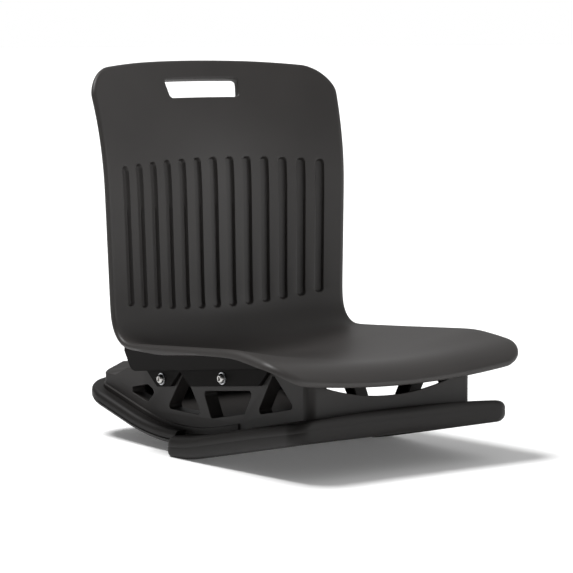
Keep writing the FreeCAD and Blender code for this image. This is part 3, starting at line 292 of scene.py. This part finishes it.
# How far the sides stand over the middle, and half the width, along the profile
turned = np.where(arc > run_ends[2], smooth_step((tilt + SEAT_SLOPE) / (math.pi / 2)), 0.0)
lift = SEAT_LIFT + MORE_BACK_LIFT * turned
nose_fade = smooth_step((NOSE_FADE_Y - centre_y) / NOSE_FADE_RUN)
lift = blurred(lift + (NOSE_LIFT - lift) * nose_fade, LIFT_BLUR)
back_half = np.interp(centre_z, [WAIST_Z, TOP_Z], [WAIST_HALF, TOP_HALF])
seat_half = np.interp(centre_y, [NOSE_Y, WAIST_Y], [NOSE_HALF, WAIST_HALF])
half_width = blurred(np.where(arc > run_ends[2] + runs[2] / 2, back_half, seat_half), WIDTH_BLUR)


def side_rise(height, share):
    """Flattened parabola: the height times the share, which is the square of a place across, times 1.2 less a
    fifth of the share."""
    return height * share * (1.2 - 0.2 * share)


def sitter_surface(x, s):
    """Point of the sitter's side: the middle profile, raised along its normal by a flattened parabola in x."""
    share = (x / WAIST_HALF) ** 2
    rise = side_rise(np.interp(s, arc, lift), share)
    lean = np.interp(s, arc, tilt)
    return np.stack([x, np.interp(s, arc, centre_y) - np.sin(lean) * rise,
                     np.interp(s, arc, centre_z) + np.cos(lean) * rise], axis=-1)


# Flutes: thirteen evenly spaced places across, ending on a shallow arc at the top and the foot
FLUTE_PLACES = np.arange(-6, 7)
FLUTE_PITCH, PAST_BEND = 28.2, 20.0
FLUTE_SHARE = FLUTE_PITCH / WAIST_HALF
FLUTE_HALF, FLUTE_DEPTH, RIB_DEPTH = 7.4, 6.0, 6.2
FLUTE_FLOOR, FLUTE_FLANK, RIB_CROWN, RIB_FLANK = 0.62, 0.34, 0.4, 0.7
FLUTE_TOP_Z, FLUTE_TOP_FALL, FLUTE_FOOT_Z, FLUTE_FOOT_RISE = 409.0, 7.0, 185.0, 15.0
flute_bend = (FLUTE_PLACES / FLUTE_PLACES[-1]) ** 2
on_back = arc > run_ends[2] + PAST_BEND


def arc_at_height(height, place):
    """Length along the profile at which a flute's line is at this height."""
    share = (place * FLUTE_SHARE) ** 2
    line_z = centre_z + side_rise(lift, share) * np.cos(tilt)
    return np.interp(height, line_z[on_back], arc[on_back])


flute_tops = [arc_at_height(FLUTE_TOP_Z - FLUTE_TOP_FALL * b, p) for p, b in zip(FLUTE_PLACES, flute_bend)]
flute_feet = [arc_at_height(FLUTE_FOOT_Z + FLUTE_FOOT_RISE * b, p) for p, b in zip(FLUTE_PLACES, flute_bend)]

# Grid of the shell: columns gather at the flutes and the sides, rows at flute ends, slot and front and top edge
MEAN_HALF = 212.0
edge_steps = np.array([0, 0.3, 1.0, 2.0, 3.3, 5.0, 7.0, 10.0, 14.0, 19.0])
in_flute = np.array([0, 0.33, 0.52, 0.526, 0.66, 0.80, 0.93, 1.04])
in_flute = np.concatenate([-in_flute[:0:-1], in_flute]) * FLUTE_HALF / WAIST_HALF
columns = np.unique(np.concatenate([(FLUTE_PLACES[:, None] * FLUTE_SHARE + in_flute).ravel(),
                                    (FLUTE_PLACES[:-1] + 0.5) * FLUTE_SHARE,
                                    1 - edge_steps / MEAN_HALF, edge_steps / MEAN_HALF - 1]))
SLOT_HEIGHTS = (496.4, 523.2)
slot_low, slot_top = (np.interp(height, centre_z[on_back], arc[on_back]) for height in SLOT_HEIGHTS)
slot_steps = np.array([-4.0, -2.4, -1.4, -0.6, -0.04, 0, 1.5, 4.0, 8.0])
foot_low, foot_high = min(flute_feet) - 3, max(flute_feet) + 12
top_low, top_high = min(flute_tops) - 12, max(flute_tops) + 3
rows = np.unique(np.concatenate([
    edge_steps, np.arange(22, 78, 3.2), np.arange(80, run_ends[2] - 22, 8.0),
    np.arange(run_ends[2] - 18, foot_low - 1, 4.0), np.arange(foot_low, foot_high, 1.2),
    np.arange(foot_high, top_low - 2, 11.0), np.arange(top_low, top_high, 1.2),
    np.arange(top_high + 2, slot_low - 5, 7.0), slot_low + slot_steps, [(slot_low + slot_top) / 2],
    slot_top - slot_steps, [shell_length - 25], shell_length - edge_steps]))
grid_a, grid_s = np.meshgrid(columns, rows)
TOP_CORNER, FRONT_CORNER = 46.0, 47.0
side_gap = (1 - np.abs(grid_a)) * np.interp(grid_s, arc, half_width)
edge_gap = side_gap.copy()
for corner, is_top in ((TOP_CORNER, True), (FRONT_CORNER, False)):
    # a square corner becomes a round one: each share is shortened by half the other's square, under a root
    end_gap = shell_length - grid_s if is_top else grid_s
    p = np.clip(1 - side_gap / corner, 0, 1)
    q = np.clip(1 - end_gap / corner, 0, 1)
    new_p = p * np.sqrt(1 - q * q / 2)
    new_q = q * np.sqrt(1 - p * p / 2)
    in_corner = (p > 0) & (q > 0)
    edge_gap = np.where(in_corner, corner * (1 - np.hypot(new_p, new_q)), np.minimum(edge_gap, end_gap))
    side_gap = np.where(in_corner, corner * (1 - new_p), side_gap)
    moved = np.where(in_corner, corner * (1 - new_q), end_gap)
    grid_s = shell_length - moved if is_top else moved
half_here = np.interp(grid_s, arc, half_width)
grid_x = np.sign(grid_a) * (half_here - side_gap)
across = (grid_x / half_here) ** 2

# Slot: a rectangle with round corners between two columns and two rows. The points near a corner are drawn in
# to its round, less and less with their distance from it
flute_column = 2 * FLUTE_SHARE + in_flute[in_flute > 0][1]
SLOT_CORNER, SLOT_ROUND, SLOT_BACK, SLOT_THICK = 6.0, 3.0, 2.0, 13.0
SLOT_TAPER, TAPER_REACH, TAPER_SHARE = 0.036, 30.0, 0.35
TURN_REACH = 2.5
slot_middle, slot_rise = (slot_low + slot_top) / 2, (slot_top - slot_low) / 2
slot_half = flute_column * np.interp(slot_middle, arc, half_width)
slot_x = np.abs(grid_a) * np.interp(slot_middle, arc, half_width)
slot_s = np.abs(grid_s - slot_middle)
p = (slot_x - (slot_half - SLOT_CORNER)) / SLOT_CORNER
q = (slot_s - (slot_rise - SLOT_CORNER)) / SLOT_CORNER
far = np.maximum(np.maximum(p, q), 1e-6)
near_p, near_q = np.clip(p / far, 0, 1), np.clip(q / far, 0, 1)
stay = np.clip((far - 1) / TURN_REACH, 0, 1)
turning = (p > 0) & (q > 0) & (far < 1 + TURN_REACH) & (far > 0.999)
shift_p = np.where(turning, far * near_p * (np.sqrt(1 - near_q ** 2 / 2) - 1) * (1 - stay), 0)
shift_q = np.where(turning, far * near_q * (np.sqrt(1 - near_p ** 2 / 2) - 1) * (1 - stay), 0)
grid_x = grid_x + np.sign(grid_a) * shift_p * SLOT_CORNER
grid_s = grid_s + np.sign(grid_s - slot_middle) * shift_q * SLOT_CORNER
out_p, out_q = p + shift_p, q + shift_q
slot_gap = SLOT_CORNER * (np.hypot(np.maximum(out_p, 0), np.maximum(out_q, 0))
                          + np.minimum(np.maximum(out_p, out_q), 0) - 1)

# The top edge falls a little to the sides, the front edge bows, and the slot is wider at its top
CROWN_FALL, CROWN_REACH, FRONT_BOW, BOW_REACH = 12.0, 130.0, 13.0, 120.0
top_tilt, top_lift = tilt[-1], lift[-1]
crown = CROWN_FALL * across + side_rise(top_lift * np.cos(top_tilt), across)
crown = crown / np.sin(top_tilt) * smooth_step((grid_s - shell_length + CROWN_REACH) / CROWN_REACH)
bow = FRONT_BOW * across * smooth_step(1 - grid_s / BOW_REACH)
from_slot = grid_s - slot_middle
taper = np.clip(from_slot / slot_rise, -1, 1) * smooth_step(2 - np.abs(from_slot) / TAPER_REACH)
grid_x = grid_x * (1 + SLOT_TAPER * taper * smooth_step(2 - np.abs(grid_a) / TAPER_SHARE))
grid_s = grid_s - crown + bow

# Depths behind the sitter's surface: the rolled rim, the pad that sits on the brackets, the flutes and
# their ribs, and the rounded slot
RIM_ROUND, RIM_BACK, RIM_THICK = 5.0, 4.0, 9.0
RIM_REACH, RIM_RUN, SLOT_REACH, SLOT_RUN = 16.0, 12.0, 15.0, 10.0
WIDE_ROLL, ROLL_FADE = 8.0, 7.0
ROLL_PLACES = [0, 30, 60, 90, 120, 180, 265, 330, 420]
ROLL_RADII = [6, 8.5, 12, 13, 13, 12, 11, 9, RIM_ROUND]
PAD_DEPTH, PAD_MIDDLE, PAD_SPREAD = 4.5, 308.0, 58.0


def quarter_drop(gap, radius):
    """Depth of a quarter circle at a gap from its edge: the radius at the edge, nothing past the radius."""
    short = np.clip(radius - gap, 0, radius)
    return radius - np.sqrt(radius ** 2 - short ** 2)


roll = np.interp(grid_s, ROLL_PLACES, ROLL_RADII)
front_depth = quarter_drop(edge_gap, roll) + quarter_drop(slot_gap, SLOT_ROUND)
front_depth += (SLOT_THICK - SLOT_BACK - SLOT_ROUND) * (slot_gap < 0.02)
rear_depth = WALL + (RIM_THICK - WALL) * smooth_step((RIM_REACH - edge_gap) / RIM_RUN)
rear_depth = rear_depth + (SLOT_THICK - WALL) * smooth_step((SLOT_REACH - slot_gap) / SLOT_RUN)
rear_depth = rear_depth - quarter_drop(edge_gap, RIM_BACK) - quarter_drop(slot_gap, SLOT_BACK)
inside = np.maximum(roll - WALL, 0.0)
under_roll = roll - np.sqrt(np.maximum(inside ** 2 - np.maximum(roll - edge_gap, 0) ** 2, 0))
rear_depth = np.where(roll > WIDE_ROLL, np.maximum(rear_depth, under_roll), rear_depth)
rear_depth = rear_depth + PAD_DEPTH * np.exp(-((grid_s - PAD_MIDDLE) / PAD_SPREAD) ** 2)
for place, top, foot in zip(FLUTE_PLACES, flute_tops, flute_feet):
    beside = (grid_a - place * FLUTE_SHARE) * half_here
    beyond = np.maximum(np.maximum(foot + FLUTE_HALF - grid_s, grid_s - top + FLUTE_HALF), 0)
    reach = np.hypot(beside, beyond) / FLUTE_HALF
    front_depth += FLUTE_DEPTH * (1 - smooth_step((reach - FLUTE_FLOOR) / FLUTE_FLANK))
    rear_depth += RIB_DEPTH * (1 - smooth_step((reach - RIB_CROWN) / RIB_FLANK))

# Both sides of the sheet: the sitter's surface, moved along its normal, which comes from short steps each way
STEP = 0.5
surface = sitter_surface(grid_x, grid_s)
next_s, last_s = np.minimum(grid_s + STEP, shell_length), np.maximum(grid_s - STEP, 0)
across_x = sitter_surface(grid_x + STEP, grid_s) - sitter_surface(grid_x - STEP, grid_s)
along_s = sitter_surface(grid_x, next_s) - sitter_surface(grid_x, last_s)
normal = np.cross(across_x, along_s)
normal[:, :, 0] *= 1 - np.clip((roll - RIM_ROUND) / ROLL_FADE, 0, 1)
normal /= np.linalg.norm(normal, axis=2, keepdims=True)
front = surface - normal * front_depth[:, :, None]
rear = surface - normal * rear_depth[:, :, None]

# Faces: both sides share the points of the rim and of the slot's edge; the cells inside the slot are left out
count_s, count_a = grid_s.shape
index = np.arange(count_s * count_a).reshape(count_s, count_a)
slot_rows = (rows > slot_low - 0.01) & (rows < slot_top + 0.01)
slot_columns = np.abs(columns) < flute_column + 1e-6
in_slot = slot_rows[:, None] & slot_columns[None, :]
cell_open = in_slot[:-1, :-1] & in_slot[1:, :-1] & in_slot[:-1, 1:] & in_slot[1:, 1:]
inner = np.zeros_like(in_slot)
inner[1:-1, 1:-1] = (in_slot[1:-1, 1:-1] & in_slot[:-2, 1:-1] & in_slot[2:, 1:-1]
                     & in_slot[1:-1, :-2] & in_slot[1:-1, 2:])
shared = in_slot & ~inner
shared[0, :] = shared[-1, :] = True
shared[:, 0] = shared[:, -1] = True
rear_index = np.where(shared, index, index + count_s * count_a)
cells = np.stack([index[:-1, :-1], index[:-1, 1:], index[1:, 1:], index[1:, :-1]], axis=2)[~cell_open]
rear_cells = np.stack([rear_index[:-1, :-1], rear_index[1:, :-1], rear_index[1:, 1:], rear_index[:-1, 1:]],
                      axis=2)[~cell_open]
quads = np.concatenate([cells, rear_cells])
used, quads = np.unique(quads, return_inverse=True)
points = np.concatenate([front.reshape(-1, 3), rear.reshape(-1, 3)])[used]
points[:, 1] += Y_SHIFT
shell = meshed("moulded_shell", points, quads.reshape(-1, 4).tolist())
shell_plastic = moulded_plastic("shell_plastic", colour=(0.0275, 0.0249, 0.0236), roughness=0.48, shine=0.36,
                                grain=0.8, bite=0.1)
shell.data.materials.append(shell_plastic)
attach(shell, "root")
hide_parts("seat_shell")

# Hidden fixings: zinc-plated screws for the runners and the brackets, the sleeves, nuts and washers of the
# bolts, and the brass inserts in the shell. They are the CAD solids, with plated or brass finishes.
STAIN_SCALE, STAIN_DETAIL, STAIN_SHARES, STAIN_GLOSS = 420.0, 4.0, (0.86, 1.0), 0.08
MARK_SCALE, MARK_STRENGTH, MARK_DEPTH = 2600.0, 0.15, 0.05


def plated_metal(name, colour, roughness):
    """Plated metal with fine turning marks and faint stains in its gloss."""
    material = bpy.data.materials.new(name)
    material.use_nodes = True
    nodes, links = material.node_tree.nodes, material.node_tree.links
    shader = nodes["Principled BSDF"]
    shader.inputs["Metallic"].default_value = 1.0
    place = nodes.new("ShaderNodeTexCoord")
    stain = nodes.new("ShaderNodeTexNoise")
    stain.inputs["Scale"].default_value = STAIN_SCALE
    stain.inputs["Detail"].default_value = STAIN_DETAIL
    links.new(place.outputs["Object"], stain.inputs["Vector"])
    tint = nodes.new("ShaderNodeValToRGB")
    for stop, share in zip(tint.color_ramp.elements, STAIN_SHARES):
        stop.color = [channel * share for channel in colour] + [1.0]
    links.new(stain.outputs["Fac"], tint.inputs["Fac"])
    links.new(tint.outputs["Color"], shader.inputs["Base Color"])
    gloss = nodes.new("ShaderNodeMapRange")
    gloss.inputs["To Min"].default_value = roughness - STAIN_GLOSS
    gloss.inputs["To Max"].default_value = roughness + STAIN_GLOSS
    links.new(stain.outputs["Fac"], gloss.inputs["Value"])
    links.new(gloss.outputs["Result"], shader.inputs["Roughness"])
    marks = nodes.new("ShaderNodeTexNoise")
    marks.inputs["Scale"].default_value = MARK_SCALE
    links.new(place.outputs["Object"], marks.inputs["Vector"])
    relief = nodes.new("ShaderNodeBump")
    relief.inputs["Strength"].default_value = MARK_STRENGTH
    relief.inputs["Distance"].default_value = MARK_DEPTH * MM
    links.new(marks.outputs["Fac"], relief.inputs["Height"])
    links.new(relief.outputs["Normal"], shader.inputs["Normal"])
    return material


zinc = plated_metal("zinc_plate", colour=(0.52, 0.53, 0.55), roughness=0.38)
insert_brass = plated_metal("insert_brass", colour=(0.72, 0.52, 0.22), roughness=0.35)
for node, finish in (("bolt_sleeves", zinc), ("bolt_nuts", zinc), ("shell_screws", zinc),
                     ("front_runner_screws", zinc), ("rear_runner_screws", zinc),
                     ("shell_inserts", insert_brass), ("bolt_washers", zinc)):
    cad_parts[node].data.materials.clear()
    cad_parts[node].data.materials.append(finish)

# Bracket bolts: four bright button-head bolts with a hexagon socket, through each bracket tab and the base.
# Turned and plated steel; each head sits on its washer.
HEAD_RADIUS, HEAD_RISE, HEAD_EDGE, SHANK_RADIUS, SHANK_TIP, NECK = 7.0, 4.5, 0.3, 4.0, 0.8, 0.2
DOME_IN, DOME_POWER = 3.3, 1.6
SOCKET_HALF, SOCKET_LIP, SOCKET_LEAD, SOCKET_WALL, SOCKET_TIP = 2.5, 0.35, 0.4, 2.6, 3.2
POLE = 0.01
BOLT_FACE, BOLT_LENGTH, RAIL_SLOPE = 150.9, 40.9, math.radians(6.5)
REAR_BOLT_Y, FRONT_BOLT_Y, REAR_BOLT_Z = 70.0, -79.5, 99.0
BOLT_PLACES = ((REAR_BOLT_Y, REAR_BOLT_Z),
               (FRONT_BOLT_Y, REAR_BOLT_Z + (REAR_BOLT_Y - FRONT_BOLT_Y) * math.tan(RAIL_SLOPE)))
angle = np.linspace(0, 2 * math.pi, 49)[:-1]
hexagon = 1 / np.cos((angle + math.pi / 6) % (math.pi / 3) - math.pi / 6)
dome = np.linspace(0, 1, 9)
# rings from the shank's tip to the bottom of the socket, each a radius and a height over the head's seat
round_rings = [(POLE, -BOLT_LENGTH), (SHANK_RADIUS - SHANK_TIP, -BOLT_LENGTH),
               (SHANK_RADIUS, -BOLT_LENGTH + SHANK_TIP), (SHANK_RADIUS, -NECK), (SHANK_RADIUS + NECK, 0.0),
               (HEAD_RADIUS - HEAD_EDGE, 0.0), (HEAD_RADIUS, HEAD_EDGE)]
round_rings += [(HEAD_RADIUS - DOME_IN * t ** DOME_POWER,
                 HEAD_EDGE + (HEAD_RISE - HEAD_EDGE) * math.sin(t * math.pi / 2)) for t in dome[1:]]
hex_rings = [(SOCKET_HALF + SOCKET_LIP, HEAD_RISE), (SOCKET_HALF, HEAD_RISE - SOCKET_LEAD),
             (SOCKET_HALF, HEAD_RISE - SOCKET_WALL), (POLE, HEAD_RISE - SOCKET_TIP)]
radii = np.concatenate([np.array([[r] for r, _ in round_rings]) * np.ones_like(angle),
                        np.array([[r] for r, _ in hex_rings]) * hexagon])
heights = np.array([height for _, height in round_rings + hex_rings])[:, None] * np.ones_like(angle)
bolt_points, bolt_faces = [], []
for side in (-1, 1):
    for bolt_y, bolt_z in BOLT_PLACES:
        start = sum(len(part) for part in bolt_points)
        bolt_points.append(np.stack([side * (BOLT_FACE + heights), bolt_y + Y_SHIFT + radii * np.cos(angle),
                                     bolt_z + radii * np.sin(angle)], axis=2).reshape(-1, 3))
        ring = np.arange(radii.size).reshape(radii.shape) + start
        after = np.roll(ring, -1, axis=1)
        cells = np.stack([ring[:-1], ring[1:], after[1:], after[:-1]], axis=2).reshape(-1, 4)
        bolt_faces += cells.tolist() + [ring[0].tolist(), ring[-1][::-1].tolist()]
bolts = meshed("button_head_bolts", np.concatenate(bolt_points), bolt_faces)
bright_steel = plated_metal("bright_steel", colour=(0.55, 0.54, 0.525), roughness=0.27)
bolts.data.materials.append(bright_steel)
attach(bolts, "root")
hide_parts("bracket_bolts")

# Studio: a wide white floor, a soft key light from above, behind and the sitter's right, a weak low fill
# from the front, and a surround that is brighter at the sitter's left; seen from the sitter's front right.
FLOOR_REACH, FLOOR_PAINTED_GLOW = 60.0, 0.09
DARK_SIDE, BRIGHT_SIDE = 0.12, 0.66
floor_mesh = bpy.data.meshes.new("floor")
floor_mesh.from_pydata([(-FLOOR_REACH, -FLOOR_REACH, 0), (FLOOR_REACH, -FLOOR_REACH, 0),
                        (FLOOR_REACH, FLOOR_REACH, 0), (-FLOOR_REACH, FLOOR_REACH, 0)], [], [(0, 1, 2, 3)])
floor = bpy.data.objects.new("floor", floor_mesh)
bpy.context.scene.collection.objects.link(floor)
floor_paint = bpy.data.materials.new("floor_paint")
floor_paint.use_nodes = True
floor_shader = floor_paint.node_tree.nodes["Principled BSDF"]
floor_shader.inputs["Base Color"].default_value = (0.99, 0.99, 0.99, 1)
floor_shader.inputs["Roughness"].default_value = 0.9
floor_shader.inputs["Specular IOR Level"].default_value = 0.1
# painted light: the floor glows faintly, which lifts its own shadows and lights the chair's undersides from
# below
floor_shader.inputs["Emission Color"].default_value = (1, 1, 1, 1)
floor_shader.inputs["Emission Strength"].default_value = FLOOR_PAINTED_GLOW
floor_mesh.materials.append(floor_paint)

world = bpy.data.worlds.new("studio")
bpy.context.scene.world = world
world.use_nodes = True
sky = world.node_tree
surround = sky.nodes["Background"]
surround.inputs["Color"].default_value = (1, 1, 1, 1)
direction = sky.nodes.new("ShaderNodeTexCoord")
split = sky.nodes.new("ShaderNodeSeparateXYZ")
sky.links.new(direction.outputs["Generated"], split.inputs["Vector"])
level = sky.nodes.new("ShaderNodeMapRange")
level.inputs["From Min"].default_value = -1.0
level.inputs["To Min"].default_value = DARK_SIDE
level.inputs["To Max"].default_value = BRIGHT_SIDE
sky.links.new(split.outputs["X"], level.inputs["Value"])
sky.links.new(level.outputs["Result"], surround.inputs["Strength"])
backdrop = sky.nodes.new("ShaderNodeBackground")
backdrop.inputs["Color"].default_value = (1, 1, 1, 1)
backdrop.inputs["Strength"].default_value = 1.0
ray = sky.nodes.new("ShaderNodeLightPath")
choose = sky.nodes.new("ShaderNodeMixShader")
sky.links.new(ray.outputs["Is Camera Ray"], choose.inputs["Fac"])
sky.links.new(surround.outputs["Background"], choose.inputs[1])
sky.links.new(backdrop.outputs["Background"], choose.inputs[2])
sky.links.new(choose.outputs["Shader"], sky.nodes["World Output"].inputs["Surface"])


def soft_sun(name, azimuth, elevation, strength, spread):
    """Lamp at infinity from a direction given like the camera's, with a wide disc for soft shadows."""
    lamp = bpy.data.lights.new(name, "SUN")
    lamp.energy = strength
    lamp.angle = math.radians(spread)
    hung = bpy.data.objects.new(name, lamp)
    bpy.context.scene.collection.objects.link(hung)
    hung.rotation_euler = (math.radians(90 - elevation), 0, math.radians(azimuth))


soft_sun("key", azimuth=226.0, elevation=69.0, strength=3.05, spread=22.0)
soft_sun("front_fill", azimuth=30.0, elevation=3.0, strength=0.8, spread=24.0)

CAMERA_TARGET = np.array([0.0, -8.365, 230.5])
CAMERA_DISTANCE, CAMERA_AZIMUTH, CAMERA_ELEVATION = 3690.0, -36.76, 5.715
IMAGE_PIXELS, FOCAL_PIXELS = 573.0, 2587.0
camera_data = bpy.data.cameras.new("camera")
camera_data.sensor_width = 36.0
camera_data.lens = FOCAL_PIXELS / IMAGE_PIXELS * camera_data.sensor_width
camera = bpy.data.objects.new("camera", camera_data)
bpy.context.scene.collection.objects.link(camera)
turn, pitch = math.radians(CAMERA_AZIMUTH), math.radians(CAMERA_ELEVATION)
to_camera = np.array([math.sin(turn) * math.cos(pitch), -math.cos(turn) * math.cos(pitch), math.sin(pitch)])
camera.location = (CAMERA_TARGET + to_camera * CAMERA_DISTANCE) * MM
camera.rotation_euler = (math.pi / 2 - pitch, 0, turn)
camera_data.clip_end = 200.0
bpy.context.scene.camera = camera
bpy.context.scene.view_settings.view_transform = "Standard"
